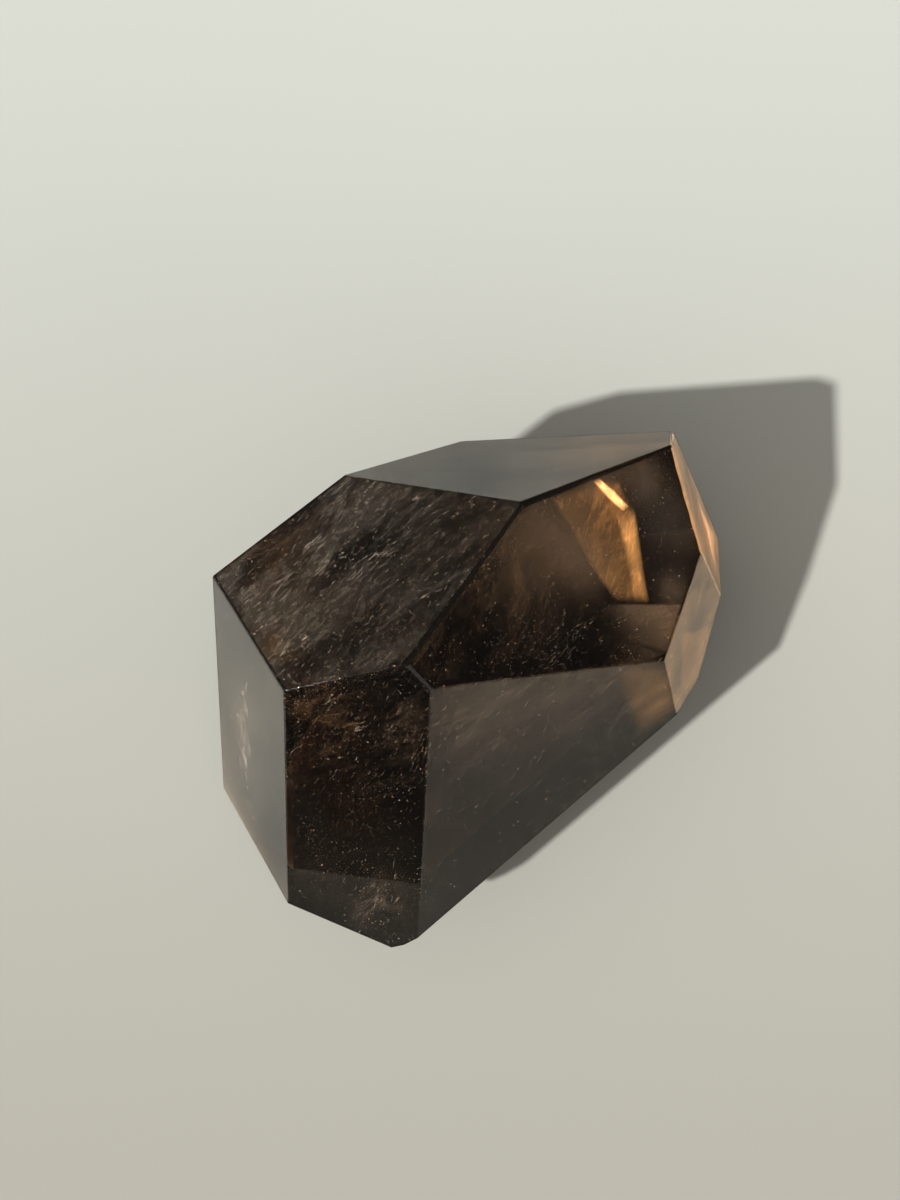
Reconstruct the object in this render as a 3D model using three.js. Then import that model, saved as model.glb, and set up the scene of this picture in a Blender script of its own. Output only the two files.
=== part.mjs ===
// Smoky quartz freeform: one lump of clear brown quartz, ground to flat facets and polished all over.
// Units are millimetres, +Z is up, and the stone stands on its base facet at the middle of its outer box.

import * as THREE from 'three';
import { mergeVertices } from 'three/addons/utils/BufferGeometryUtils.js';

// Height of the heart of the stone, the point that every facet is measured from
const HEART_HEIGHT = 33;

// Every facet is one flat cut, as a stone cutter would set it:
// bearing is the way it faces, in degrees from +X towards +Y,
// lift is how far it faces upwards, in degrees, so 90 is straight up and -90 straight down,
// reach is its distance from the heart, in millimetres.

// The facets that face up
const UPPER_FACETS = {
  topLeft: { bearing: 128.5, lift: 56, reach: 37.1 },
  topBack: { bearing: 96.5, lift: 35.5, reach: 37.9 },
  topRight: { bearing: -19, lift: 53, reach: 34.4 },
  front: { bearing: -96.4, lift: 40.2, reach: 37 },
  frontRight: { bearing: -53.4, lift: 32.6, reach: 29.5 },
  left: { bearing: -160.5, lift: 18.5, reach: 41.2 },
};

// The small facets of the pointed right-hand end and the ground-off toe at the front
const END_FACETS = {
  endBack: { bearing: 11, lift: 16.5, reach: 50.2 },
  endFront: { bearing: -19.5, lift: 24.5, reach: 40.1 },
  endTip: { bearing: -15.5, lift: -4.5, reach: 46.2 },
  endRear: { bearing: 59, lift: -5, reach: 52.9 },
  endNick: { bearing: 49, lift: 31, reach: 56.6 },
  toe: { bearing: -78, lift: 0, reach: 50.4 },
};

// The facets that draw in below the widest line of the stone, down to the flat that it stands on
const LOWER_FACETS = {
  backLeft: { bearing: 128.5, lift: -10, reach: 30.9 },
  backMiddle: { bearing: 117, lift: -10, reach: 30.9 },
  backRight: { bearing: 89, lift: -10, reach: 35.9 },
  underLeft: { bearing: 156, lift: -16, reach: 35.8 },
  underFront: { bearing: -124, lift: -29.2, reach: 48.2 },
  underRight: { bearing: -47.2, lift: -23.8, reach: 33.1 },
  bellyRight: { bearing: -46, lift: -62, reach: 32.6 },
  bellyBack: { bearing: 37, lift: -70, reach: 41.7 },
  base: { bearing: 0, lift: -90, reach: HEART_HEIGHT },
};

// Narrow polished bevels along the edges that show one, each between two facets,
// with its width at the left and at the right end of the edge
const BEVELS = [
  { between: ['topLeft', 'topRight'], leftWidth: 1, rightWidth: 0.7 },
  { between: ['topBack', 'topRight'], leftWidth: 1.2, rightWidth: 0.4 },
  { between: ['topRight', 'front'], leftWidth: 0.6, rightWidth: 0.6 },
  { between: ['topLeft', 'left'], leftWidth: 0.4, rightWidth: 0.4 },
];

// Larger than any facet, so that every facet can be cut out of a square of this half width
const BLANK_HALF_WIDTH = 200;

// Corners closer together than this are one corner
const WELD_DISTANCE = 0.2;

const SMOKY_BROWN = 0x3b2e24;

// The plane of a facet, with the heart of the stone as origin
function facetPlane({ bearing, lift, reach }) {
  const around = THREE.MathUtils.degToRad(bearing);
  const up = THREE.MathUtils.degToRad(lift);
  const normal = new THREE.Vector3(
    Math.cos(up) * Math.cos(around),
    Math.cos(up) * Math.sin(around),
    Math.sin(up),
  );
  return new THREE.Plane(normal, -reach);
}

// A large square in the plane, turning anticlockwise seen from outside
function blankSquare(plane) {
  const helper = Math.abs(plane.normal.z) < 0.7 ? new THREE.Vector3(0, 0, 1) : new THREE.Vector3(1, 0, 0);
  const across = new THREE.Vector3().crossVectors(helper, plane.normal).setLength(BLANK_HALF_WIDTH);
  const along = new THREE.Vector3().crossVectors(plane.normal, across);
  const middle = plane.normal.clone().multiplyScalar(-plane.constant);
  return [
    middle.clone().add(across).add(along),
    middle.clone().sub(across).add(along),
    middle.clone().sub(across).sub(along),
    middle.clone().add(across).sub(along),
  ];
}

// What is left of a polygon on the inner side of a plane
function cutPolygon(polygon, plane) {
  const kept = [];
  polygon.forEach((corner, index) => {
    const next = polygon[(index + 1) % polygon.length];
    const here = plane.distanceToPoint(corner);
    const there = plane.distanceToPoint(next);
    if (here <= 0) {
      kept.push(corner);
    }
    if (here < 0 !== there < 0 && here !== there) {
      kept.push(corner.clone().lerp(next, here / (here - there)));
    }
  });
  return kept;
}

// The polygon of every facet: its blank square, cut by all the other planes
function facetPolygons(planes) {
  return planes.map((plane) => planes.filter((other) => other !== plane).reduce(cutPolygon, blankSquare(plane)));
}

// The two ends of the edge that two facets share, the left one first
function edgeEnds(first, second) {
  const shared = first.filter((corner) => second.some((other) => other.distanceTo(corner) < WELD_DISTANCE));
  shared.sort((a, b) => a.x - b.x);
  return [shared.at(0), shared.at(-1)];
}

// The plane that shaves an edge down to a narrow flat. It leans halfway between the edge's two facets,
// and its depth below the edge follows from the width wanted and half the angle that the facets turn through.
function bevelPlane(firstPlane, secondPlane, [left, right], { leftWidth, rightWidth }) {
  const inward = firstPlane.normal.clone().add(secondPlane.normal).normalize().negate();
  const depthPerWidth = Math.tan(firstPlane.normal.angleTo(secondPlane.normal) / 2) / 2;
  const start = left.clone().addScaledVector(inward, leftWidth * depthPerWidth);
  const end = right.clone().addScaledVector(inward, rightWidth * depthPerWidth);
  const sideways = new THREE.Vector3().crossVectors(inward, end.clone().sub(start));
  const bevel = new THREE.Plane().setFromCoplanarPoints(start, end, start.clone().add(sideways));
  return bevel.normal.dot(inward) < 0 ? bevel : bevel.negate();
}

// Makes corners that nearly meet one corner, shared by all the polygons around it
function weldPolygons(polygons) {
  const corners = [];
  const shared = (point) => {
    const known = corners.find((corner) => corner.distanceTo(point) < WELD_DISTANCE);
    if (known) {
      return known;
    }
    corners.push(point);
    return point;
  };
  return polygons
    .map((polygon) => polygon.map(shared))
    .map((polygon) => polygon.filter((corner, index) => corner !== polygon[(index + 1) % polygon.length]));
}

// Flat triangles fanned over each facet, stood on the ground at the middle of the stone's outer box
function stoneGeometry(planes) {
  const positions = [];
  weldPolygons(facetPolygons(planes)).forEach((polygon) => {
    for (let index = 1; index < polygon.length - 1; index += 1) {
      positions.push(...polygon[0].toArray(), ...polygon[index].toArray(), ...polygon[index + 1].toArray());
    }
  });
  const loose = new THREE.BufferGeometry();
  loose.setAttribute('position', new THREE.Float32BufferAttribute(positions, 3));
  const geometry = mergeVertices(loose);
  geometry.computeBoundingBox();
  const middle = geometry.boundingBox.getCenter(new THREE.Vector3());
  return geometry.translate(-middle.x, -middle.y, HEART_HEIGHT);
}

// The planes of all the facets, then of the bevels along the edges that these leave
function stonePlanes() {
  const facets = { ...UPPER_FACETS, ...END_FACETS, ...LOWER_FACETS };
  const names = Object.keys(facets);
  const planes = names.map((name) => facetPlane(facets[name]));
  const polygons = facetPolygons(planes);
  const bevels = BEVELS.map((bevel) => {
    const [first, second] = bevel.between.map((name) => names.indexOf(name));
    return bevelPlane(planes[first], planes[second], edgeEnds(polygons[first], polygons[second]), bevel);
  });
  return [...planes, ...bevels];
}

// The finished stone
function makeStone() {
  const polished = new THREE.MeshStandardMaterial({ color: SMOKY_BROWN, roughness: 0.06, metalness: 0 });
  const stone = new THREE.Mesh(stoneGeometry(stonePlanes()), polished);
  stone.name = 'stone';
  return stone;
}

const freeform = new THREE.Group();
freeform.add(makeStone());

export default freeform;
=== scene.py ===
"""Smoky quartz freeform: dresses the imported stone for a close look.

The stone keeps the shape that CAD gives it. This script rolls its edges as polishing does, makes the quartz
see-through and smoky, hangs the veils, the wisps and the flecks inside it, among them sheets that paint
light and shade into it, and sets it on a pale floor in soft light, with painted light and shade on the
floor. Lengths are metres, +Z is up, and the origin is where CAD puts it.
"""

import math

import bpy
import numpy as np
from bpy.props import FloatProperty, FloatVectorProperty, IntProperty, PointerProperty
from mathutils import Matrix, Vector


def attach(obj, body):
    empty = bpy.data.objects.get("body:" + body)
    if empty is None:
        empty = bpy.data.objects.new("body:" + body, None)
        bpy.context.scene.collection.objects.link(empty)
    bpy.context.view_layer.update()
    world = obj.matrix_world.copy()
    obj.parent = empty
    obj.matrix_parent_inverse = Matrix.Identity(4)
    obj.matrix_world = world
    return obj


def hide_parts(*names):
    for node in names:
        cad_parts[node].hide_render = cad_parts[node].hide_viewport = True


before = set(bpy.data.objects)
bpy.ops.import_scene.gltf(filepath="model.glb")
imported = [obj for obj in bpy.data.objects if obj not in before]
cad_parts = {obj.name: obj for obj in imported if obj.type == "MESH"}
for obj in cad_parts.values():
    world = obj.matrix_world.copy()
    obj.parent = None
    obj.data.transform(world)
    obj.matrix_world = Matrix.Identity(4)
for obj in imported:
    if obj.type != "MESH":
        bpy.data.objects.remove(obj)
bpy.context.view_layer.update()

bl_info = {
    "name": "Smoky quartz freeform",
    "version": (1, 0, 0),
    "blender": (4, 5, 0),
    "location": "View3D > Sidebar > Freeform",
    "description": "Polishes a smoky quartz freeform and sets it in soft light",
    "category": "Object",
}

MM = 0.001

# Triangles that face the same way to within this many degrees are one facet
SAME_FACET_DEG = 4
# Corners of neighbouring facets that agree to this many decimals of a metre are one corner
WELD_DECIMALS = 6
# Nothing inside comes nearer to the polished surface than this
INNER_GAP = 0.25 * MM

# The way the large facets face: bearing from +X towards +Y and lift above the horizon, in degrees
TOP_LEFT = (128.5, 56)
TOP_BACK = (96.5, 35.5)
TOP_RIGHT = (-19, 53)
FRONT = (-96.5, 40)
FRONT_RIGHT = (-53.5, 32.5)
LEFT = (-160.5, 18.5)
END_BACK = (11, 16.5)
END_FRONT = (-19.5, 24.5)
# The same for the narrow bevels on the edges
TOP_BEVEL = (48, 78.5)
BACK_BEVEL = (52, 60.5)
FRONT_BEVEL = (-63, 54)
LEFT_BEVEL = (174.5, 42.5)
BEVELS = (TOP_BEVEL, BACK_BEVEL, FRONT_BEVEL, LEFT_BEVEL)
# Veils of other facets end this far from a bevel, so that the painted shade under the bevel shows and it
# looks dark
BEVEL_CLEAR = 0.06 * MM

# How much the rings of a veil crowd towards its rim; at one they are evenly spaced
RING_CROWDING = 1.5
# Length of the low waves of a veil
RIPPLE_LENGTH = 14 * MM
# How far the pattern is moved on from one veil to the next
PATTERN_STEP = 0.3
# What a veil still shows, as a share, where its drifts are thinnest
THINNEST = 0.2
# The parts of the pattern: stretch, features per metre, detail, roughness, twist, and the range that shows
VEIL_PATTERN = {
    "Wisps": (3.5, 850, 4, 0.7, 0.2, 0.52, 0.64),
    "Drifts": (2.2, 110, 3, 0.6, 0.6, 0.38, 0.64),
    "Grain": (2.6, 1350, 3, 0.75, 0.0, 0.52, 0.62),
    "Holes": (1.5, 240, 4, 0.68, 1.0, 0.42, 0.6),
}

# Fine strands: how far their headings spread, and how far they bend and sway as shares of their length
STRAND_SPREAD_DEG = 8
STRAND_BEND = 0.06
STRAND_SWAY = 0.015
# How deep the shallowest of them lie and how much deeper the deepest, in millimetres
STRAND_TOP = 0.26
STRAND_DROP = 1.2
# About how much one side of a strand lies deeper than its middle, as a share of its width
STRAND_TILT = 0.4

# Size of the drifts that the flecks lie in, and of the clumps inside these
FLECK_DRIFT = 9 * MM
FLECK_CLUMP = 2.5 * MM
# Share of the flecks that is tried in vain: the higher, the emptier the gaps between the drifts
FLECK_LOSS = 0.6

# Ranges of Y, in metres, of the painted light and shade on the floor: over the first it turns lighter, to
# its back colour, and over the second it dims towards its front end
FLOOR_PAINTED_LIGHT = (-0.12, 0.2)
FLOOR_PAINTED_SHADE = (-0.1, -0.3)


def unit(vectors):
    """The same vectors at length one."""
    return vectors / np.linalg.norm(vectors, axis=-1, keepdims=True)


def direction(bearing, lift):
    """Unit vector that faces a bearing, from +X towards +Y, and rises by lift, both in degrees."""
    around, up = math.radians(bearing), math.radians(lift)
    return np.array([math.cos(up) * math.cos(around), math.cos(up) * math.sin(around), math.sin(up)])


def link(piece):
    """Puts a new object into the scene."""
    bpy.context.scene.collection.objects.link(piece)
    return piece


def linear(red, green, blue):
    """A screen colour, 0 to 255 a channel, as the linear colour that shaders take, with alpha."""
    share = np.array([red, green, blue]) / 255
    flat = np.where(share <= 0.04045, share / 12.92, ((share + 0.055) / 1.055) ** 2.4)
    return (*flat.tolist(), 1.0)


# Reading the stone

class Cut:
    """The faceted stone as CAD made it: its corners, and for each facet its loop of corners and plane."""

    def __init__(self, node):
        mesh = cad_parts[node].data
        points = np.empty(len(mesh.vertices) * 3)
        mesh.vertices.foreach_get("co", points)
        rounded = np.round(points.reshape(-1, 3), WELD_DECIMALS)
        self.corners, which = np.unique(rounded, axis=0, return_inverse=True)
        which = which.ravel()
        alike = math.cos(math.radians(SAME_FACET_DEG))
        groups = []
        for face in mesh.polygons:
            normal = np.array(face.normal)
            turn = which[list(face.vertices)].tolist()
            sides = list(zip(turn, turn[1:] + turn[:1]))
            home = [group for group in groups if group["normal"] @ normal > alike]
            if home:
                home[0]["normal"] = unit(home[0]["normal"] * home[0]["area"] + normal * face.area)
                home[0]["area"] += face.area
                home[0]["sides"] += sides
            else:
                groups.append({"normal": normal, "area": face.area, "sides": sides})
        self.loops = [self.outline(group["sides"]) for group in groups]
        self.normals = np.array([group["normal"] for group in groups])
        means = np.array([self.corners[loop].mean(axis=0) for loop in self.loops])
        self.reaches = (self.normals * means).sum(axis=1)

    @staticmethod
    def outline(sides):
        """The loop of corners round a facet: the triangle sides that no other of its triangles shares."""
        onward = {a: b for a, b in sides if (b, a) not in sides}
        loop = [min(onward)]
        while onward[loop[-1]] != loop[0]:
            loop.append(onward[loop[-1]])
        return loop

    def facing(self, way):
        """The number of the facet that faces nearest to a bearing and lift."""
        return int((self.normals @ direction(*way)).argmax())

    def under(self, way, spots, depth):
        """Points at the given x and y, in millimetres, as deep below the plane of a facet as depth says."""
        facet = self.facing(way)
        normal = self.normals[facet]
        flat = np.asarray(spots) * MM
        height = (self.reaches[facet] - depth - flat @ normal[:2]) / normal[2]
        return np.column_stack([flat, height])

    def below(self, way, points):
        """How deep the points lie below the plane of a facet."""
        facet = self.facing(way)
        return self.reaches[facet] - points @ self.normals[facet]

    def pressed_inside(self, points, gap=INNER_GAP):
        """The points, with those nearer than gap to a facet moved straight inwards until they clear it."""
        for _ in range(3):
            for normal, reach in zip(self.normals, self.reaches):
                over = points @ normal - (reach - gap)
                points = points - np.maximum(over, 0)[:, None] * normal
        return points


# Shapes

def rolled_surface(cut, radius, steps):
    """The stone with its edges rolled, as a small ball rolled round inside it would leave them.

    At every corner the ball touches all the facets that meet there, so its centre lies one radius inside
    each of their planes, and a slight pull towards the corner settles what they leave open. Every point of
    the surface is the ball's centre plus the radius times a direction. Across an edge the direction turns
    from the facet's normal to halfway to the next facet's, and at the corner itself to the mean of all the
    normals there. Returns the points, their normals and the faces.
    """
    meets = np.zeros((len(cut.loops), len(cut.corners)))
    for number, loop in enumerate(cut.loops):
        meets[number, loop] = 1
    pull = 1e-3
    squares = np.einsum("fc,fi,fj->cij", meets, cut.normals, cut.normals) + pull * np.eye(3)
    inside = cut.reaches - radius
    wanted = np.einsum("fc,f,fi->ci", meets, inside, cut.normals) + pull * cut.corners
    balls = np.linalg.solve(squares, wanted[..., None])[..., 0]
    means = unit(meets.T @ cut.normals)
    sides = [zip(loop, loop[1:] + loop[:1]) for loop in cut.loops]
    beyond = {side: number for number, own in enumerate(sides) for side in own}
    turns = (np.arange(1, steps + 1) / steps)[:, None, None]
    points, normals, faces = [], [], []
    start = 0
    for normal, loop in zip(cut.normals, cut.loops):
        count = len(loop)
        after, before = np.roll(loop, -1), np.roll(loop, 1)
        left = unit(normal + cut.normals[[beyond[here, last] for here, last in zip(loop, before)]])
        right = unit(normal + cut.normals[[beyond[then, here] for here, then in zip(loop, after)]])
        ends = np.stack([left, means[loop], right], axis=1).reshape(-1, 3)
        centres = np.repeat(balls[loop], 3, axis=0)
        aims = unit((1 - turns) * normal + turns * ends)
        points += [balls[loop] + radius * normal, (centres + radius * aims).reshape(-1, 3)]
        normals += [np.tile(normal, (count, 1)), aims.reshape(-1, 3)]
        flat = start + np.arange(count)
        ring = start + count + np.arange(steps * 3 * count).reshape(steps, 3 * count)
        first = ring[0].reshape(count, 3)
        faces.append(flat.tolist())
        faces += np.stack([flat, first[:, 0], first[:, 1]], axis=1).tolist()
        faces += np.stack([flat, first[:, 1], first[:, 2]], axis=1).tolist()
        faces += np.stack([flat, first[:, 2], np.roll(first[:, 0], -1), np.roll(flat, -1)], axis=1).tolist()
        onward = np.roll(ring, -1, axis=1)
        faces += np.stack([ring[:-1], ring[1:], onward[1:], onward[:-1]], axis=-1).reshape(-1, 4).tolist()
        start += count + steps * 3 * count
    return np.concatenate(points), np.concatenate(normals), faces


def welded(points, normals, faces):
    """The same surface with its coinciding points made one, and faces that this closes left out."""
    rounded = np.round(points, WELD_DECIMALS + 1)
    _, kept, which = np.unique(rounded, axis=0, return_index=True, return_inverse=True)
    which = which.ravel()
    turned = [list(dict.fromkeys(which[face].tolist())) for face in faces]
    return points[kept], normals[kept], [face for face in turned if len(face) > 2]


def sheet_surface(cut, way, outline, depth, ripple, heading, seed, rings=30, spokes=150):
    """A thin rippled sheet under a facet, on a grid of rings and spokes.

    A point is the middle of the outline plus a share of the way to its rim, the rim being walked at even
    steps and the rings lying closer near it. Two crossing sine waves of height ripple lift it off its flat.
    The outline is a list of x and y in millimetres, or None for the whole facet. Returns the points, the
    faces, each point's share of the way and its flat place along and across the heading, in metres, moved
    on by the seed.
    """
    facet = cut.facing(way)
    normal = cut.normals[facet]
    if outline is None:
        corners = cut.corners[cut.loops[facet]] - depth * normal
    else:
        corners = cut.under(way, outline, depth)
    ends = np.vstack([corners, corners[:1]])
    run = np.concatenate([[0], np.cumsum(np.linalg.norm(np.diff(ends, axis=0), axis=1))])
    walk = np.linspace(0, run[-1], spokes, endpoint=False)
    rim = np.stack([np.interp(walk, run, ends[:, axis]) for axis in range(3)], axis=1)
    rim = cut.pressed_inside(rim, depth)
    middle = rim.mean(axis=0)
    share = 1 - np.linspace(1, 0, rings + 1) ** RING_CROWDING
    points = (middle + share[:, None, None] * (rim - middle)).reshape(-1, 3)
    chance = np.random.default_rng(seed)
    waves = chance.normal(size=(2, 3)) * 2 * np.pi / RIPPLE_LENGTH
    lift = sum(np.sin(points @ wave + chance.uniform(0, 6)) for wave in waves)
    points = cut.pressed_inside(points + (ripple * lift)[:, None] * normal)
    ahead = unit(direction(heading, 0) - (direction(heading, 0) @ normal) * normal)
    place = np.stack([points @ ahead, points @ np.cross(normal, ahead)], axis=1) + seed * PATTERN_STEP
    cells = np.arange((rings + 1) * spokes).reshape(rings + 1, spokes)
    onward = np.roll(cells, -1, axis=1)
    faces = np.stack([cells[:-1], cells[1:], onward[1:], onward[:-1]], axis=-1).reshape(-1, 4).tolist()
    return points, faces, np.repeat(share, spokes), place


def swells(points, rows, base=0.0):
    """For every point, base plus a sum of round swells.

    A row is the x, y and radius of a swell in millimetres, and its height.
    """
    rows = np.array(rows, float).reshape(-1, 4)
    away = ((points[:, None, :2] / MM - rows[None, :, :2]) ** 2).sum(axis=2)
    return base + (rows[:, 3] * np.exp(-away / rows[:, 2] ** 2)).sum(axis=1)


def billows(points, size, seed, count=12, contrast=1.6):
    """A smooth chance field from 0 to 1: the mean of sine waves, each its own way and about size long."""
    chance = np.random.default_rng(seed)
    ways = unit(chance.normal(size=(count, 3)))
    waves = ways * 2 * np.pi / (size * chance.uniform(0.5, 1.6, (count, 1)))
    total = np.sin(points @ waves.T + chance.uniform(0, 2 * np.pi, count)).mean(axis=1)
    return np.clip(0.5 + contrast * total, 0, 1)


def strand_surfaces(cut, way, tufts, warmth, seed, steps=7):
    """Fine flat strands in tufts under a facet: narrow bent ribbons, all on one grid.

    A strand runs along its heading with t from -1/2 to 1/2, and across it s goes from -1 to 1. Sideways it
    bends by a parabola and a small sine, and its width is a share of cos(pi t), so that both ends are
    pointed. A tuft is x and y, heading in degrees, spread along and across it, strand length and width, all
    in millimetres, and the number of strands. Strands that would leave the stone are left out. Returns the
    points, the faces, how solid each point is and how warm its strand is, a chance number from 0 to warmth.
    """
    chance = np.random.default_rng(seed)
    tufts = np.array(tufts, float)
    own = np.repeat(tufts, tufts[:, 7].astype(int), axis=0)
    count = len(own)
    heading = np.radians(own[:, 2] + chance.normal(0, STRAND_SPREAD_DEG, count))
    ahead = np.column_stack([np.cos(heading), np.sin(heading)])
    aside = np.column_stack([-ahead[:, 1], ahead[:, 0]])
    spread = chance.normal(0, 0.5, (count, 2)) * own[:, 3:5]
    place = own[:, :2] + spread[:, :1] * ahead + spread[:, 1:] * aside
    length = own[:, 5] * chance.uniform(0.3, 1.3, count)
    width = own[:, 6] * chance.uniform(0.4, 1.4, count)
    bend = chance.normal(0, STRAND_BEND, count) * length
    t = np.linspace(-0.5, 0.5, steps)[None, :, None]
    s = np.array([-1, 0, 1])[None, None, :]
    sway = bend[:, None, None] * (4 * t ** 2 - 0.5)
    phase = chance.uniform(0, 6, count)[:, None, None]
    sway = sway + STRAND_SWAY * length[:, None, None] * np.sin(9 * t + phase)
    across = sway + s * width[:, None, None] * np.cos(np.pi * t) / 2
    flat = place[:, None, None] + (t * length[:, None, None])[..., None] * ahead[:, None, None]
    flat = flat + across[..., None] * aside[:, None, None]
    tilt = chance.normal(0, STRAND_TILT, count) * width
    depth = (STRAND_TOP + STRAND_DROP * chance.random(count) ** 3)[:, None, None] + s * tilt[:, None, None]
    depth = np.broadcast_to(depth, across.shape).ravel() * MM
    points = cut.under(way, flat.reshape(-1, 2), depth)
    stays = ((cut.reaches - points @ cut.normals.T).min(axis=1) > 0).reshape(count, -1).all(axis=1)
    points = cut.pressed_inside(points)
    firm = (0.25 + 0.75 * chance.random(count) ** 2)[:, None, None]
    solid = firm * (1 - 0.5 * np.abs(s)) * np.cos(np.pi * t) ** 0.5
    solid = np.broadcast_to(solid, across.shape).ravel()
    warm = np.repeat(warmth * chance.random(count), steps * 3)
    kept = np.repeat(stays, steps * 3)
    cells = np.arange(kept.sum()).reshape(-1, steps, 3)
    near, far = cells[:, :-1], cells[:, 1:]
    faces = np.stack([near[..., :-1], near[..., 1:], far[..., 1:], far[..., :-1]], axis=-1)
    faces = faces.reshape(-1, 4).tolist()
    return points[kept], faces, solid[kept], warm[kept]


def fleck_surfaces(cut, way, count, size, deepest, seed):
    """Tiny flat flakes strewn in drifts under a facet, six-cornered, each turned its own way.

    Their middles fall evenly on the fan of triangles of the facet, their depth grows as the cube of a chance
    number, and only those stay where the billows are high enough. Corner k lies at an angle of 60 k degrees
    and has its own radius. Returns the points, the faces and for each point its flake's chance number.
    """
    chance = np.random.default_rng(seed)
    facet = cut.facing(way)
    corners = cut.corners[cut.loops[facet]]
    first, second = corners[1:-1] - corners[0], corners[2:] - corners[0]
    areas = np.linalg.norm(np.cross(first, second), axis=1)
    which = chance.choice(len(areas), count, p=areas / areas.sum())
    a, b = chance.random((2, count, 1))
    over = a + b > 1
    a, b = np.where(over, 1 - a, a), np.where(over, 1 - b, b)
    depth = INNER_GAP + deepest * chance.random((count, 1)) ** 3
    middle = corners[0] + a * first[which] + b * second[which] - depth * cut.normals[facet]
    crowd = billows(middle, FLECK_DRIFT, seed) * billows(middle, FLECK_CLUMP, seed + 1)
    stays = crowd > FLECK_LOSS * chance.random(count)
    middle = middle[stays]
    count = len(middle)
    one = unit(chance.normal(size=(count, 3)))
    two = unit(np.cross(one, chance.normal(size=(count, 3))))
    angle = np.arange(6) * np.pi / 3
    radius = size * (0.3 + 0.7 * chance.random((count, 1)) ** 9) * chance.uniform(0.5, 1, (count, 6))
    ring = np.cos(angle)[None, :, None] * one[:, None] + 0.6 * np.sin(angle)[None, :, None] * two[:, None]
    points = cut.pressed_inside((middle[:, None] + radius[..., None] * ring).reshape(-1, 3))
    return points, np.arange(count * 6).reshape(count, 6).tolist(), np.repeat(chance.random(count), 6)


def mesh_piece(name, points, faces, normals=None, place=None, **marks):
    """A mesh object of its own, smooth.

    Its normals, its flat place as a UV map and further numbers per point go with it where they are given.
    """
    mesh = bpy.data.meshes.new(name)
    mesh.from_pydata(points.tolist(), [], faces)
    mesh.polygons.foreach_set("use_smooth", np.ones(len(mesh.polygons), bool))
    for mark, values in marks.items():
        values = np.clip(values, 0, 1).astype(np.float32)
        mesh.attributes.new(mark, "FLOAT", "POINT").data.foreach_set("value", values)
    if place is not None:
        corners = np.empty(len(mesh.loops), np.int32)
        mesh.loops.foreach_get("vertex_index", corners)
        mesh.uv_layers.new(name="place").data.foreach_set("uv", place[corners].astype(np.float32).ravel())
    if normals is not None:
        mesh.normals_split_custom_set_from_vertices(normals.tolist())
    mesh.update()
    return link(bpy.data.objects.new(name, mesh))


def joined(parts):
    """Several surfaces, each a tuple of points, faces and numbers per point, as one."""
    starts = np.cumsum([0] + [len(part[0]) for part in parts[:-1]])
    faces = []
    for start, part in zip(starts.tolist(), parts):
        faces += [[corner + start for corner in face] for face in part[1]]
    rest = [np.concatenate([part[place] for part in parts]) for place in range(2, len(parts[0]))]
    return np.concatenate([part[0] for part in parts]), faces, *rest


# Materials

class Nodes:
    """A node tree with short ways to add and join nodes."""

    def __init__(self, tree):
        self.tree = tree
        self.tree.nodes.clear()

    def node(self, kind, values=(), **settings):
        """A node with the given settings and socket values."""
        made = self.tree.nodes.new(kind)
        for key, value in settings.items():
            setattr(made, key, value)
        for key, value in dict(values).items():
            made.inputs[key].default_value = value
        return made

    def join(self, source, target):
        """Joins an output socket to an input socket."""
        self.tree.links.new(source, target)

    def maths(self, operation, first, second):
        """The result of one operation on two values, each a socket or a number."""
        made = self.node("ShaderNodeMath", operation=operation)
        for socket, value in zip(made.inputs, (first, second)):
            if isinstance(value, bpy.types.NodeSocket):
                self.join(value, socket)
            else:
                socket.default_value = value
        return made.outputs[0]

    def noise(self, place, stretch, scale, detail, rough, twist=0.0):
        """Cloudy noise from 0 to 1 over a place in metres, drawn out by stretch, scale features a metre."""
        lay = self.node("ShaderNodeMapping", {"Scale": (1 / stretch, 1.0, 1.0)})
        self.join(place, lay.inputs["Vector"])
        values = {"Scale": scale, "Detail": detail, "Roughness": rough, "Distortion": twist}
        cloud = self.node("ShaderNodeTexNoise", values)
        self.join(lay.outputs[0], cloud.inputs["Vector"])
        return cloud.outputs[0]

    def ramp(self, value, low, high):
        """The value taken from its range low to high onto 0 to 1, eased at both ends."""
        ends = {"From Min": low, "From Max": high}
        made = self.node("ShaderNodeMapRange", ends, interpolation_type="SMOOTHSTEP")
        self.join(value, made.inputs["Value"])
        return made.outputs["Result"]


def new_material(name):
    """A material with an empty node tree, and that tree."""
    material = bpy.data.materials.new(name)
    material.use_nodes = True
    return material, Nodes(material.node_tree)


def new_group(name, outputs):
    """A shared node group that gives values: its tree and its output node."""
    tree = bpy.data.node_groups.new(name, "ShaderNodeTree")
    for socket in outputs:
        tree.interface.new_socket(name=socket, in_out="OUTPUT", socket_type="NodeSocketFloat")
    make = Nodes(tree)
    return make, make.node("NodeGroupOutput")


def veil_pattern():
    """How a veil is broken up: wisps drawn out along it, drifts that thin it out, fine grain and holes."""
    if "veil_pattern" in bpy.data.node_groups:
        return bpy.data.node_groups["veil_pattern"]
    make, ends = new_group("veil_pattern", VEIL_PATTERN)
    place = make.node("ShaderNodeUVMap", uv_map="place").outputs["UV"]
    for part, (stretch, scale, detail, rough, twist, low, high) in VEIL_PATTERN.items():
        cloud = make.noise(place, stretch, scale, detail, rough, twist)
        make.join(make.ramp(cloud, low, high), ends.inputs[part])
    return make.tree


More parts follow.
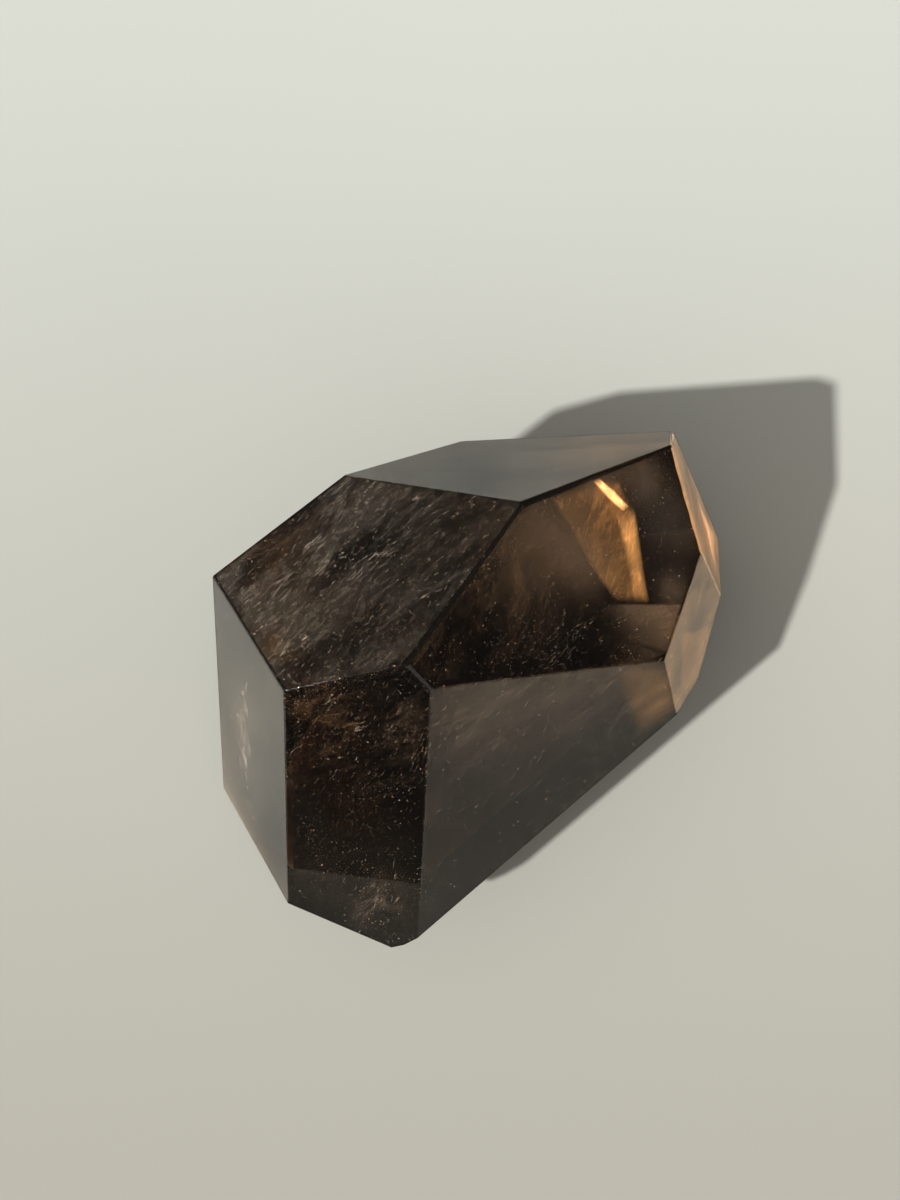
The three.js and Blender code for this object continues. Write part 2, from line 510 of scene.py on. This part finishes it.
def polish_marks():
    """What polishing leaves: a very low waviness, and faint smears that are a little less glossy."""
    make, ends = new_group("polish_marks", ("Height", "Smear"))
    place = make.node("ShaderNodeTexCoord").outputs["Object"]
    wave = make.noise(place, stretch=1.0, scale=60, detail=2, rough=0.4)
    smear = make.noise(place, stretch=2.5, scale=160, detail=3, rough=0.7)
    make.join(wave, ends.inputs["Height"])
    make.join(make.ramp(smear, low=0.5, high=0.8), ends.inputs["Smear"])
    return make.tree


def quartz_material(settings):
    """Clear quartz with smoke in it: bends and mirrors light at the surface and takes it up inside.

    What lies inside is lit by lamps straight through the surface. The floor outside stays in its shadow.
    """
    material, make = new_material("smoky_quartz")
    surface = make.node("ShaderNodeBsdfPrincipled", {
        "Base Color": (1, 1, 1, 1),
        "IOR": settings.refraction,
        "Transmission Weight": 1.0,
    })
    marks = make.node("ShaderNodeGroup", node_tree=polish_marks())
    dull = make.maths("MULTIPLY", marks.outputs["Smear"], settings.smear)
    make.join(make.maths("ADD", dull, settings.roughness), surface.inputs["Roughness"])
    wavy = make.node("ShaderNodeBump", {"Distance": settings.waviness, "Strength": 1.0})
    make.join(marks.outputs["Height"], wavy.inputs["Height"])
    make.join(wavy.outputs["Normal"], surface.inputs["Normal"])
    lamps = make.node("ShaderNodeBsdfTransparent", {"Color": (*settings.lamp_share, 1)})
    path = make.node("ShaderNodeLightPath")
    inside = make.maths("GREATER_THAN", path.outputs["Transmission Depth"], 0.5)
    to_lamp = make.maths("MULTIPLY", path.outputs["Is Shadow Ray"], inside)
    either = make.node("ShaderNodeMixShader")
    smoke = make.node("ShaderNodeVolumeAbsorption", {
        "Color": (*settings.smoke, 1),
        "Density": settings.smoke_density,
    })
    out = make.node("ShaderNodeOutputMaterial")
    make.join(to_lamp, either.inputs[0])
    make.join(surface.outputs[0], either.inputs[1])
    make.join(lamps.outputs[0], either.inputs[2])
    make.join(either.outputs[0], out.inputs["Surface"])
    make.join(smoke.outputs[0], out.inputs["Volume"])
    return material


def veil_material(name, pale, warm, wisps=0.0, drifts=0.0, grain=0.0, film=0.0, holes=0.0, glow=0.0):
    """Dull inner matter, see-through where it is thin. Glow is painted light: the matter shines in its own
    colour, standing for the light that the stone gathers there.

    Each point's own mark "amount" says how much there is, and "warmth" takes its colour from pale to warm.
    What is seen is a sum of wisps, drifts, grain and an even film, each by its share, less a share of holes.
    """
    material, make = new_material(name)
    surface = make.node("ShaderNodeBsdfPrincipled", {"Roughness": 0.8, "Specular IOR Level": 0.0})
    amount = make.node("ShaderNodeAttribute", attribute_name="amount").outputs["Fac"]
    warmth = make.node("ShaderNodeAttribute", attribute_name="warmth").outputs["Fac"]
    if wisps or drifts or grain:
        marks = make.node("ShaderNodeGroup", node_tree=veil_pattern()).outputs
        broken = make.maths("ADD", make.maths("MULTIPLY", marks["Drifts"], 1 - THINNEST), THINNEST)
        drawn = make.maths("MULTIPLY", make.maths("MULTIPLY", marks["Wisps"], wisps), broken)
        dusted = make.maths("MULTIPLY", make.maths("MULTIPLY", marks["Grain"], grain), broken)
        spread = make.maths("ADD", make.maths("MULTIPLY", marks["Drifts"], drifts), film)
        whole = make.maths("ADD", make.maths("ADD", drawn, dusted), spread)
        kept = make.maths("ADD", make.maths("MULTIPLY", marks["Holes"], holes), 1 - holes)
        amount = make.maths("MULTIPLY", make.maths("MULTIPLY", whole, kept), amount)
    else:
        amount = make.maths("MULTIPLY", amount, film)
    make.join(make.maths("MINIMUM", amount, 1.0), surface.inputs["Alpha"])
    tint = make.node("ShaderNodeMix", data_type="RGBA")
    tint.inputs[6].default_value = (*pale, 1)
    tint.inputs[7].default_value = (*warm, 1)
    make.join(warmth, tint.inputs["Factor"])
    make.join(tint.outputs[2], surface.inputs["Base Color"])
    # Painted light: where glow is given, the sheet shines in its own colour
    if glow:
        surface.inputs["Emission Strength"].default_value = glow
        make.join(tint.outputs[2], surface.inputs["Emission Color"])
    out = make.node("ShaderNodeOutputMaterial")
    make.join(surface.outputs[0], out.inputs["Surface"])
    return material


def floor_material(settings):
    """Matt pale floor with painted light and shade: it turns lighter from its front to its back colour and
    dims towards its front end.
    """
    material, make = new_material("floor")
    surface = make.node("ShaderNodeBsdfPrincipled", {"Roughness": 0.9, "Specular IOR Level": 0.2})
    place = make.node("ShaderNodeSeparateXYZ")
    make.join(make.node("ShaderNodeTexCoord").outputs["Object"], place.inputs[0])
    # Painted light and shade: the floor turns lighter towards its back and dims towards its front end
    tint = make.node("ShaderNodeMix", data_type="RGBA")
    tint.inputs[6].default_value = (*settings.floor_colour, 1)
    tint.inputs[7].default_value = (*settings.painted_back_light, 1)
    make.join(make.ramp(place.outputs["Y"], *FLOOR_PAINTED_LIGHT), tint.inputs["Factor"])
    dim = make.node("ShaderNodeMix", data_type="RGBA", blend_type="MULTIPLY")
    dim.inputs[7].default_value = (*settings.front_shade, 1)
    make.join(make.ramp(place.outputs["Y"], *FLOOR_PAINTED_SHADE), dim.inputs["Factor"])
    make.join(tint.outputs[2], dim.inputs[6])
    make.join(dim.outputs[2], surface.inputs["Base Color"])
    out = make.node("ShaderNodeOutputMaterial")
    make.join(surface.outputs[0], out.inputs["Surface"])
    return material


# Settings

class StoneSettings(bpy.types.PropertyGroup):
    """How the quartz is polished and how smoky it is."""

    edge_radius: FloatProperty(
        name="Edge radius", description="Radius that polishing leaves on every edge",
        default=0.14 * MM, min=0.02 * MM, subtype="DISTANCE", unit="LENGTH",
    )
    edge_steps: IntProperty(
        name="Edge steps", description="Faces across each half of a rolled edge", default=3, min=1,
    )
    roughness: FloatProperty(
        name="Roughness", description="Roughness of the polish", default=0.015, min=0, max=1,
    )
    smear: FloatProperty(
        name="Smear", description="Roughness that the faint smears add", default=0.05, min=0, max=1,
    )
    waviness: FloatProperty(
        name="Waviness", description="Height of the waviness that polishing leaves",
        default=0.01 * MM, min=0, subtype="DISTANCE", unit="LENGTH",
    )
    refraction: FloatProperty(
        name="Refraction", description="Refractive index of quartz", default=1.544, min=1,
    )
    smoke: FloatVectorProperty(
        name="Smoke", description="Colour that the quartz lets through", default=(0.4, 0.25, 0.08),
        subtype="COLOR", min=0, max=1,
    )
    smoke_density: FloatProperty(
        name="Smoke density", description="How strongly the smoke takes up light, per metre",
        default=85, min=0,
    )
    lamp_share: FloatVectorProperty(
        name="Light let in", description="Share of the lamps' light that enters the stone",
        default=(0.9, 0.9, 0.9), subtype="COLOR", min=0, max=1,
    )


class InnerSettings(bpy.types.PropertyGroup):
    """The veils, wisps and flecks inside the stone, and the colours of the light and shade painted there."""

    pale: FloatVectorProperty(
        name="Pale", description="Colour of the palest veils", default=(0.6, 0.54, 0.44), subtype="COLOR",
        min=0, max=1,
    )
    tan: FloatVectorProperty(
        name="Tan", description="Colour of the warmest veils", default=(0.5, 0.27, 0.12), subtype="COLOR",
        min=0, max=1,
    )
    # Colour of the painted golden light: the glowing veils, the golden pool of light and the caustics
    gold: FloatVectorProperty(
        name="Gold", description="Colour of the golden veils", default=(0.95, 0.5, 0.17), subtype="COLOR",
        min=0, max=1,
    )
    # Colour of the painted shade: the black sheet low in the front facet and the strips under the bevels
    black: FloatVectorProperty(
        name="Black", description="Colour of the smoky veils",
        default=(0.012, 0.009, 0.006), subtype="COLOR", min=0, max=1,
    )
    fleck_size: FloatProperty(
        name="Fleck size", description="Largest radius of a fleck", default=0.3 * MM, subtype="DISTANCE",
        unit="LENGTH",
    )


class StageSettings(bpy.types.PropertyGroup):
    """The floor, the light and the camera."""

    floor_colour: FloatVectorProperty(
        name="Floor colour", description="Colour of the pale floor at the front",
        default=linear(205, 202, 190)[:3], subtype="COLOR", min=0, max=1,
    )
    # Painted light and shade on the floor: lighter towards the back, dimmer towards the front end
    painted_back_light: FloatVectorProperty(
        name="Back colour", description="Colour of the pale floor at the back",
        default=linear(237, 239, 230)[:3], subtype="COLOR", min=0, max=1,
    )
    front_shade: FloatVectorProperty(
        name="Front shade", description="Share of its colour that the floor keeps at its front end",
        default=(0.75, 0.72, 0.66), subtype="COLOR", min=0, max=1,
    )
    floor_front: FloatProperty(
        name="Floor front", description="How far the floor reaches towards the front",
        default=0.31, unit="LENGTH",
    )
    floor_reach: FloatProperty(
        name="Floor reach", description="How far the floor reaches to the other sides",
        default=1.5, unit="LENGTH",
    )
    floor_drop: FloatProperty(
        name="Floor gap", description="Gap of air under the base facet", default=0.1 * MM, unit="LENGTH",
    )
    key_strength: FloatProperty(
        name="Key light", description="Strength of the key light", default=2.25, min=0,
    )
    key_width: FloatProperty(
        name="Key width", description="Angle that the key light spans", default=math.radians(1.9),
        subtype="ANGLE", unit="ROTATION",
    )
    key_bearing: FloatProperty(
        name="Key bearing", description="Way the key light travels, from +X towards +Y",
        default=math.radians(35), subtype="ANGLE", unit="ROTATION",
    )
    key_height: FloatProperty(
        name="Key height", description="Height of the key light above the horizon",
        default=math.radians(47.3), subtype="ANGLE", unit="ROTATION",
    )
    fill_strength: FloatProperty(
        name="Fill light", description="Strength of the broad soft light", default=0.7, min=0,
    )
    fill_width: FloatProperty(
        name="Fill width", description="Angle that the soft light spans", default=math.radians(90),
        subtype="ANGLE", unit="ROTATION",
    )
    fill_height: FloatProperty(
        name="Fill height", description="Height of the soft light above the horizon",
        default=math.radians(60), subtype="ANGLE", unit="ROTATION",
    )
    rim_strength: FloatProperty(
        name="Rim light", description="Strength of the low soft light that catches the front edges",
        default=0.2, min=0,
    )
    rim_width: FloatProperty(
        name="Rim width", description="Angle that the rim light spans", default=math.radians(40),
        subtype="ANGLE", unit="ROTATION",
    )
    rim_bearing: FloatProperty(
        name="Rim bearing", description="Way the rim light travels, from +X towards +Y",
        default=math.radians(130), subtype="ANGLE", unit="ROTATION",
    )
    rim_height: FloatProperty(
        name="Rim height", description="Height of the rim light above the horizon",
        default=math.radians(20), subtype="ANGLE", unit="ROTATION",
    )
    contrast: FloatProperty(
        name="Contrast", description="Gamma of the view; below one it deepens the dark tones",
        default=0.92, min=0.5,
    )
    exposure: FloatProperty(name="Exposure", description="Exposure of the view, in stops", default=0.09)
    room_colour: FloatVectorProperty(
        name="Room colour", description="Colour of the dim light from all round",
        default=(0.093, 0.09, 0.082), subtype="COLOR", min=0,
    )
    camera_place: FloatVectorProperty(
        name="Camera place", description="Where the camera stands",
        default=(-4.86 * MM, -44.2 * MM, 358.7 * MM), subtype="TRANSLATION", unit="LENGTH",
    )
    camera_tilt: FloatProperty(
        name="Camera tilt", description="How far the camera leans back from looking straight down",
        default=math.radians(10.86), subtype="ANGLE", unit="ROTATION",
    )
    camera_lens: FloatProperty(name="Lens", description="Focal length for a 36 mm sensor", default=52.5)


def hang_lamp(name, strength, width, bearing, height):
    """A far lamp whose light travels towards the bearing and comes down from the height, in radians."""
    lamp = bpy.data.lights.new(name, "SUN")
    lamp.energy = strength
    lamp.angle = width
    travel = Vector(direction(math.degrees(bearing), -math.degrees(height)))
    link(bpy.data.objects.new(name, lamp)).rotation_euler = travel.to_track_quat("-Z", "Y").to_euler()


def dress(piece, material):
    """Gives an inner piece its material and its place in the part."""
    piece.data.materials.append(material)
    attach(piece, "root")


# What lies inside the stone, and the sheets inside it that paint light and shade

class Veil:
    """One veil: the facet it hangs under, its depth, the heading of its wisps and how much there is of it.

    Amounts and warmths are rows for swells, over base and over warmth. All places are x and y as seen from
    above, and these, the depth and the ripple are in millimetres.
    """

    def __init__(
        self, name, way, depth, heading, base, amounts=(), warmth=0.2, warmths=(), outline=None, fade=0.01,
        ripple=0.05,
    ):
        self.name = name
        self.way = way
        self.depth = depth * MM
        self.heading = heading
        self.base = base
        self.amounts = amounts
        self.warmth = warmth
        self.warmths = warmths
        self.outline = outline
        self.fade = fade
        self.ripple = ripple * MM

    def hang(self, cut, seed, material):
        """Makes the veil's piece. It thins out over the share of the way to its rim that fade gives."""
        shape = sheet_surface(cut, self.way, self.outline, self.depth, self.ripple, self.heading, seed)
        points, faces, share, place = shape
        amount = swells(points, self.amounts, self.base).clip(0, 1)
        if self.fade:
            amount = amount * np.minimum(1, (1 - share) / self.fade)
        # Veils end short of the bevels, where the strips of painted shade lie
        raised = points + self.depth * cut.normals[cut.facing(self.way)]
        for way in BEVELS:
            if way != self.way:
                amount = amount * np.clip(cut.below(way, raised) / BEVEL_CLEAR - 1, 0, 1)
        warmth = swells(points, self.warmths, self.warmth)
        dress(mesh_piece(self.name, points, faces, place=place, amount=amount, warmth=warmth), material)


FIBROUS_VEILS = (
    Veil("top_left_veil", TOP_LEFT, 0.37, 47, 0.3,
         ((-17, 20, 7, -0.2), (-30, 25, 7, 0.04), (-41, 17, 5, 0.2), (-34, 27, 4, 0.2), (-26, 34, 5, 0.15),
          (-35, 5, 4, 0.15), (-14, 4, 5, -0.12), (-29, -1, 3, -0.2)),
         0.1, ((-35, 4, 3, 0.7), (-31, 1, 2.5, 0.6), (-28, 12, 7, 0.3), (1, 25, 7, 0.5), (-13, 35, 5, 0.3))),
    Veil("deep_top_left_veil", TOP_LEFT, 3.0, 52, 0.14, ((-18, 21, 7, -0.14), (-32, 20, 8, 0.1)), 0.5),
)
MOTTLED_VEILS = (
    Veil("front_veil", FRONT, 0.37, 35, 0.03,
         ((-28, -8, 6, 0.5), (-33, -13, 4, 0.3), (-19, -17, 4, 0.12), (-12, -11, 5, 0.25)),
         0.7, ((-27, -9, 12, 0.3),)),
    Veil("deep_front_veil", FRONT, 3.0, 60, 0.0, ((-27, -9, 7, 0.45), (-20, -20, 4, 0.12)), 0.9),
    Veil("low_front_veil", FRONT, 0.5, 70, 0.0, ((-18, -39, 5, 0.5), (-28, -36, 5, 0.3)), 0.5),
    Veil("top_right_veil", TOP_RIGHT, 0.37, 65, 0.12,
         ((4, 16, 9, 0.2), (8, 24, 8, 0.25), (17, 6, 6, -0.08)), 0.8, ((8, 18, 12, 0.2),)),
    Veil("front_right_veil", FRONT_RIGHT, 0.37, 50, 0.25,
         ((0, -6, 9, 0.25), (14, -1, 9, 0.25), (24, 2, 6, 0.2), (2, -25, 10, -0.25), (16, -12, 6, -0.25)),
         0.6),
)
HAZY_VEILS = (
    Veil("left_veil", LEFT, 0.37, 80, 0.27, ((-41, -6, 5, 0.2), (-38, -30, 10, -0.3)),
         0.1, ((-41, -6, 4, 0.3),)),
    Veil("upper_haze", TOP_RIGHT, 0.9, 60, 0.0,
         ((12, 25, 7, 0.6), (17, 20, 5, 0.6), (7, 18, 8, 0.3), (34, 29, 6, 0.32), (35, 17, 3, 0.6),
          (20, 35, 4, 0.7), (28, 36, 4, 0.6)),
         0.7, ((34, 27, 8, -0.4),)),
    Veil("front_right_haze", FRONT_RIGHT, 0.6, 45, 0.02,
         ((-2, -7, 8, 0.3), (6, -4, 7, 0.15), (14, -1, 8, 0.25), (23, 3, 6, 0.25)), 0.5),
    Veil("lower_haze", TOP_RIGHT, 1.0, 5, 0.0, ((27, 14.5, 4, 0.5), (35, 14, 6, 1.1), (32, 8, 5, 0.35)), 0.7,
         outline=((22, 13.1), (37.2, 15), (35, 6), (14, -2)), fade=0.08),
)
# Painted light: hazy veils that glow gold under the back facet, the thin end of the stone and the right
# corner of the front-right facet
GLOWING_VEILS = (
    Veil("top_back_haze_glow", TOP_BACK, 0.3, 5, 0.12, ((26, 40, 12, 0.08), (0, 34, 6, -0.1)),
         0.1, ((26, 40, 14, 0.5),)),
    Veil("end_back_haze_glow", END_BACK, 0.6, 60, 0.95, ((44, 36, 8, 0.5),), 0.6, ((45, 30, 6, 0.4),)),
    Veil("end_front_haze_glow", END_FRONT, 0.3, 60, 0.37, (), 0.6),
    Veil("low_end_front_haze_glow", END_FRONT, 0.6, 60, 0.2, (), 0.9,
         outline=((36.9, 10.3), (44.9, 13.9), (45.1, 9.8), (41.7, 3.3), (37.5, -0.9)), fade=0.2),
    Veil("golden_corner_glow", FRONT_RIGHT, 0.8, 40, 0.0, ((33, 0, 6, 0.22), (29, 1, 5, 0.06)), 0.85,
         outline=((22, 4), (36, 5), (40, -3), (30, -9)), fade=0.4),
)
# Painted light: a golden pool of light on a sheet in the top-right facet
PAINTED_GOLDEN_LIGHT = (
    Veil("painted_golden_light", TOP_RIGHT, 1.2, 75, 0.7, ((22, 31, 4, 0.3), (28, 18, 5, 0.4)),
         0.5, ((25, 27, 4, 0.4),), fade=0.15,
         outline=((12, 29.4), (17, 33.4), (24.4, 34.6), (28, 29), (30.2, 14.1), (24.2, 13.6), (20.6, 17.1))),
)
# Painted light: glowing caustics, a bright spot and a bright line in the top-right facet and a bright sliver
# at the back of the thin end
PAINTED_CAUSTICS = (
    Veil("painted_caustic_spot", TOP_RIGHT, 0.9, -40, 1.0, (), 0.85,
         outline=((19.7, 33.4), (20.9, 34.1), (23.8, 32.4), (26.5, 30.2), (25.4, 29.1), (22.4, 31)),
         fade=0.5),
    Veil("painted_caustic_line", TOP_RIGHT, 1.0, 80, 0.25, ((26, 28, 4, 0.35), (30, 15, 3, 0.25)), 1.0,
         outline=((23.6, 29.6), (27.6, 30), (29.2, 21.5), (30.6, 14.2), (27.6, 13.9), (25.8, 21.4)),
         fade=1.0),
    Veil("painted_caustic_rim", END_BACK, 0.3, 70, 1.0, (), 0.45,
         outline=((41.5, 37.6), (47.6, 34.4), (46.2, 23.9), (45, 25.5), (44, 31.7)), fade=0.8, ripple=0.03),
)
# Painted shade: a black sheet low in the front facet that stands for the shade under the stone seen through
# it, and narrow black strips under the bevels that paint them dark
PAINTED_SHADE_SHEETS = (
    Veil("painted_shade_front_patch", FRONT, 2.2, 0, 0.0,
         ((-32, -22, 5, 0.8), (-31, -29, 6, 1.2), (-23, -33, 6, 1.2), (-15, -29, 6, 1), (-12, -36, 5, 0.7)),
         fade=0),
    Veil("painted_shade_top_bevel", TOP_BEVEL, 0.3, 0, 0.9, fade=0, ripple=0),
    Veil("painted_shade_back_bevel", BACK_BEVEL, 0.3, 0, 0.9, ((22, 36, 8, -0.5),), fade=0, ripple=0),
    Veil("painted_shade_front_bevel", FRONT_BEVEL, 0.3, 0, 0.9, fade=0, ripple=0),
    Veil("painted_shade_left_bevel", LEFT_BEVEL, 0.3, 0, 0.6, fade=0, ripple=0),
)

# Every set of veils, its pale and its warm colour in the settings, and the shares that it is made of
VEIL_SETS = (
    ("fibrous_veil", FIBROUS_VEILS, "pale", "tan", dict(wisps=0.4, drifts=0.25, grain=0.5, film=0.03)),
    ("mottled_veil", MOTTLED_VEILS, "pale", "tan", dict(wisps=0.1, drifts=0.25, grain=0.45, holes=0.9)),
    ("hazy_veil", HAZY_VEILS, "pale", "tan", dict(wisps=0.1, drifts=0.15, grain=0.15, film=0.4)),
    # The last four sets paint light and shade: glowing haze, a golden pool of light, glowing caustics and
    # black shade
    ("glowing_veil", GLOWING_VEILS, "pale", "gold", dict(drifts=0.4, grain=0.3, film=0.5, glow=0.52)),
    ("painted_golden_light", PAINTED_GOLDEN_LIGHT, "tan", "gold", dict(wisps=0.15, drifts=0.45, grain=0.5, film=0.35)),
    ("painted_caustic_glow", PAINTED_CAUSTICS, "pale", "gold", dict(drifts=0.3, grain=0.7, film=0.4, glow=2.2)),
    ("painted_shade_sheet", PAINTED_SHADE_SHEETS, "black", "black", dict(film=0.97)),
)
FIRST_VEIL_SEED = 11

# Tufts: x and y, heading, spread along and across it, strand length and width, and the number of strands
TOP_LEFT_TUFTS = (
    (-18.5, 18.3, 40, 8, 2, 2.6, 0.17, 60),
    (-32, 18, 46, 8, 1.2, 3.4, 0.24, 22),
    (-28.6, 23.8, 40, 3.5, 1.2, 2.6, 0.3, 16),
    (-26, 19.6, 40, 4, 0.9, 2.8, 0.4, 16),
    (-24.2, 29, 62, 4, 2.2, 2.2, 0.22, 26),
    (-35, 14, 42, 6, 2, 2.6, 0.22, 18),
    (-9.7, 31, 30, 2.2, 0.5, 2.4, 0.5, 8),
    (-4, 28, 32, 6, 1.5, 1.8, 0.18, 16),
    (-8.1, 11.2, 25, 3, 0.7, 1.6, 0.25, 8),
    (-33, 3.2, 48, 4, 1.6, 2.6, 0.4, 20),
    (-37.5, 7.5, 60, 1.5, 1, 0.6, 0.3, 12),
    (-20, 14, 48, 36, 32, 1.0, 0.14, 1400),
    (-29, 25, 50, 18, 14, 1.5, 0.16, 260),
    (-33, 12, 45, 20, 12, 1.2, 0.12, 200),
    (-31.5, -1.5, 120, 7, 0.5, 0.7, 0.12, 24),
)
FRONT_TUFTS = (
    (-19, -9, 22, 3, 0.8, 4.0, 0.25, 6),
    (-25, -6, 38, 4, 1, 3.0, 0.16, 6),
    (-30, -12, 35, 4, 1, 3.0, 0.16, 6),
    (-10, -14, 60, 3, 2, 1.2, 0.2, 14),
    (-17, -37, 70, 5, 3, 1.5, 0.3, 14),
    (-21, -15, 50, 24, 18, 0.8, 0.08, 520),
    (-12, -12, 60, 10, 6, 1.0, 0.1, 110),
    (-19, -39, 60, 10, 6, 1.2, 0.15, 50),
)
TOP_RIGHT_TUFTS = (
    (8, 14, 62, 28, 20, 0.8, 0.08, 500),
    (12, 4, 32, 20, 8, 1.1, 0.09, 260),
    (16, 6, 48, 14, 1.5, 2.0, 0.1, 70),
)
LEFT_TUFTS = (
    (-41.6, -4.5, -85, 4, 1.2, 2.6, 0.25, 34),
    (-42.3, -9.5, -85, 4, 1.2, 2.6, 0.3, 40),
    (-43.5, -12, -80, 3, 1, 2.0, 0.2, 20),
    (-42, -21, -80, 4, 0.8, 2.0, 0.2, 20),
    (-42, -14, -80, 26, 5, 1.2, 0.1, 80),
)
FRONT_RIGHT_TUFTS = (
    (6, -8, 42, 40, 14, 1.0, 0.08, 420),
    (-2, -12, 42, 10, 14, 1.4, 0.1, 60),
    (10, -14, 42, 36, 2, 2.0, 0.08, 50),
)
# Every facet with tufts, how warm their strands may be and the seed of their chance numbers
STRAND_SETS = (
    (FRONT_RIGHT, FRONT_RIGHT_TUFTS, 0.7, 25),
    (LEFT, LEFT_TUFTS, 0.3, 24),
    (TOP_LEFT, TOP_LEFT_TUFTS, 0.5, 21),
    (FRONT, FRONT_TUFTS, 1.0, 22),
    (TOP_RIGHT, TOP_RIGHT_TUFTS, 1.0, 23),
)

# Every facet with flecks, how many are tried there and how deep they reach, in millimetres
FLECK_SETS = (
    (TOP_LEFT, 9000, 5),
    (TOP_RIGHT, 9000, 5),
    (FRONT, 6000, 5),
    (FRONT_RIGHT, 4000, 4),
    (LEFT, 300, 3),
)
FIRST_FLECK_SEED = 31


# Operators

class FREEFORM_OT_stone(bpy.types.Operator):
    """Polish the stone: roll its edges and fill it with smoky quartz"""

    bl_idname = "freeform.stone"
    bl_label = "Polish the stone"

    def execute(self, context):
        settings = context.scene.freeform_stone
        cut = Cut("stone")
        points, normals, faces = welded(*rolled_surface(cut, settings.edge_radius, settings.edge_steps))
        piece = mesh_piece("polished_stone", points, faces, normals)
        dress(piece, quartz_material(settings))
        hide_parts("stone")
        return {"FINISHED"}


class FREEFORM_OT_veils(bpy.types.Operator):
    """Hang the thin veils under the facets, and the sheets that paint light and shade"""

    bl_idname = "freeform.veils"
    bl_label = "Hang the veils"

    def execute(self, context):
        settings = context.scene.freeform_inner
        cut = Cut("stone")
        for number, (name, veils, pale, warm, shares) in enumerate(VEIL_SETS):
            material = veil_material(name, getattr(settings, pale), getattr(settings, warm), **shares)
            for index, veil in enumerate(veils):
                veil.hang(cut, FIRST_VEIL_SEED + 10 * number + index, material)
        return {"FINISHED"}


class FREEFORM_OT_wisps(bpy.types.Operator):
    """Scatter the tufts of fine strands"""

    bl_idname = "freeform.wisps"
    bl_label = "Scatter the wisps"

    def execute(self, context):
        settings = context.scene.freeform_inner
        cut = Cut("stone")
        sets = [strand_surfaces(cut, *row) for row in STRAND_SETS]
        points, faces, solid, warmth = joined(sets)
        marks = {"amount": solid, "warmth": warmth}
        material = veil_material("wisp", settings.pale, settings.tan, film=0.75)
        dress(mesh_piece("wisps", points, faces, **marks), material)
        return {"FINISHED"}


class FREEFORM_OT_flecks(bpy.types.Operator):
    """Strew the tiny bright flakes"""

    bl_idname = "freeform.flecks"
    bl_label = "Strew the flecks"

    def execute(self, context):
        settings = context.scene.freeform_inner
        cut = Cut("stone")
        sets = [
            fleck_surfaces(cut, way, count, settings.fleck_size, deepest * MM, FIRST_FLECK_SEED + number)
            for number, (way, count, deepest) in enumerate(FLECK_SETS)
        ]
        points, faces, warmth = joined(sets)
        marks = {"amount": np.ones(len(points)), "warmth": warmth}
        material = veil_material("fleck", settings.pale, settings.tan, film=0.8)
        dress(mesh_piece("flecks", points, faces, **marks), material)
        return {"FINISHED"}


class FREEFORM_OT_stage(bpy.types.Operator):
    """Set the pale floor, the soft light and the camera"""

    bl_idname = "freeform.stage"
    bl_label = "Set the stage"

    def execute(self, context):
        settings = context.scene.freeform_stage
        far, front = settings.floor_reach, settings.floor_front
        corners = np.array([[-far, -front, 0], [far, -front, 0], [far, far, 0], [-far, far, 0]])
        floor = mesh_piece("floor", corners - [0, 0, settings.floor_drop], [[0, 1, 2, 3]])
        floor.data.materials.append(floor_material(settings))
        hang_lamp(
            "key", settings.key_strength, settings.key_width, settings.key_bearing, settings.key_height,
        )
        hang_lamp(
            "fill", settings.fill_strength, settings.fill_width, settings.key_bearing, settings.fill_height,
        )
        hang_lamp(
            "rim", settings.rim_strength, settings.rim_width, settings.rim_bearing, settings.rim_height,
        )
        world = bpy.data.worlds.new("studio")
        world.use_nodes = True
        world.node_tree.nodes["Background"].inputs["Color"].default_value = (*settings.room_colour, 1)
        context.scene.world = world
        camera = link(bpy.data.objects.new("camera", bpy.data.cameras.new("camera")))
        camera.data.lens = settings.camera_lens
        camera.data.clip_start = 0.01
        camera.location = settings.camera_place
        camera.rotation_euler = (settings.camera_tilt, 0, 0)
        context.scene.camera = camera
        view = context.scene.view_settings
        view.view_transform = "Standard"
        view.gamma = settings.contrast
        view.exposure = settings.exposure
        return {"FINISHED"}


class FREEFORM_PT_panel(bpy.types.Panel):
    """Lists the steps that dress the stone"""

    bl_idname = "FREEFORM_PT_panel"
    bl_label = "Smoky quartz freeform"
    bl_space_type = "VIEW_3D"
    bl_region_type = "UI"
    bl_category = "Freeform"

    def draw(self, context):
        for step in STEPS:
            self.layout.operator(step.bl_idname)


STEPS = (
    FREEFORM_OT_stone,
    FREEFORM_OT_veils,
    FREEFORM_OT_wisps,
    FREEFORM_OT_flecks,
    FREEFORM_OT_stage,
)
CLASSES = (StoneSettings, InnerSettings, StageSettings, *STEPS, FREEFORM_PT_panel)


def register():
    """Adds the classes and their settings to Blender."""
    for item in CLASSES:
        bpy.utils.register_class(item)
    bpy.types.Scene.freeform_stone = PointerProperty(type=StoneSettings)
    bpy.types.Scene.freeform_inner = PointerProperty(type=InnerSettings)
    bpy.types.Scene.freeform_stage = PointerProperty(type=StageSettings)


def unregister():
    """Takes them out again."""
    del bpy.types.Scene.freeform_stage
    del bpy.types.Scene.freeform_inner
    del bpy.types.Scene.freeform_stone
    for item in reversed(CLASSES):
        bpy.utils.unregister_class(item)


def main():
    """Dresses the stone step by step."""
    register()
    bpy.ops.freeform.stone()
    bpy.ops.freeform.veils()
    bpy.ops.freeform.wisps()
    bpy.ops.freeform.flecks()
    bpy.ops.freeform.stage()


if __name__ == "__main__":
    main()
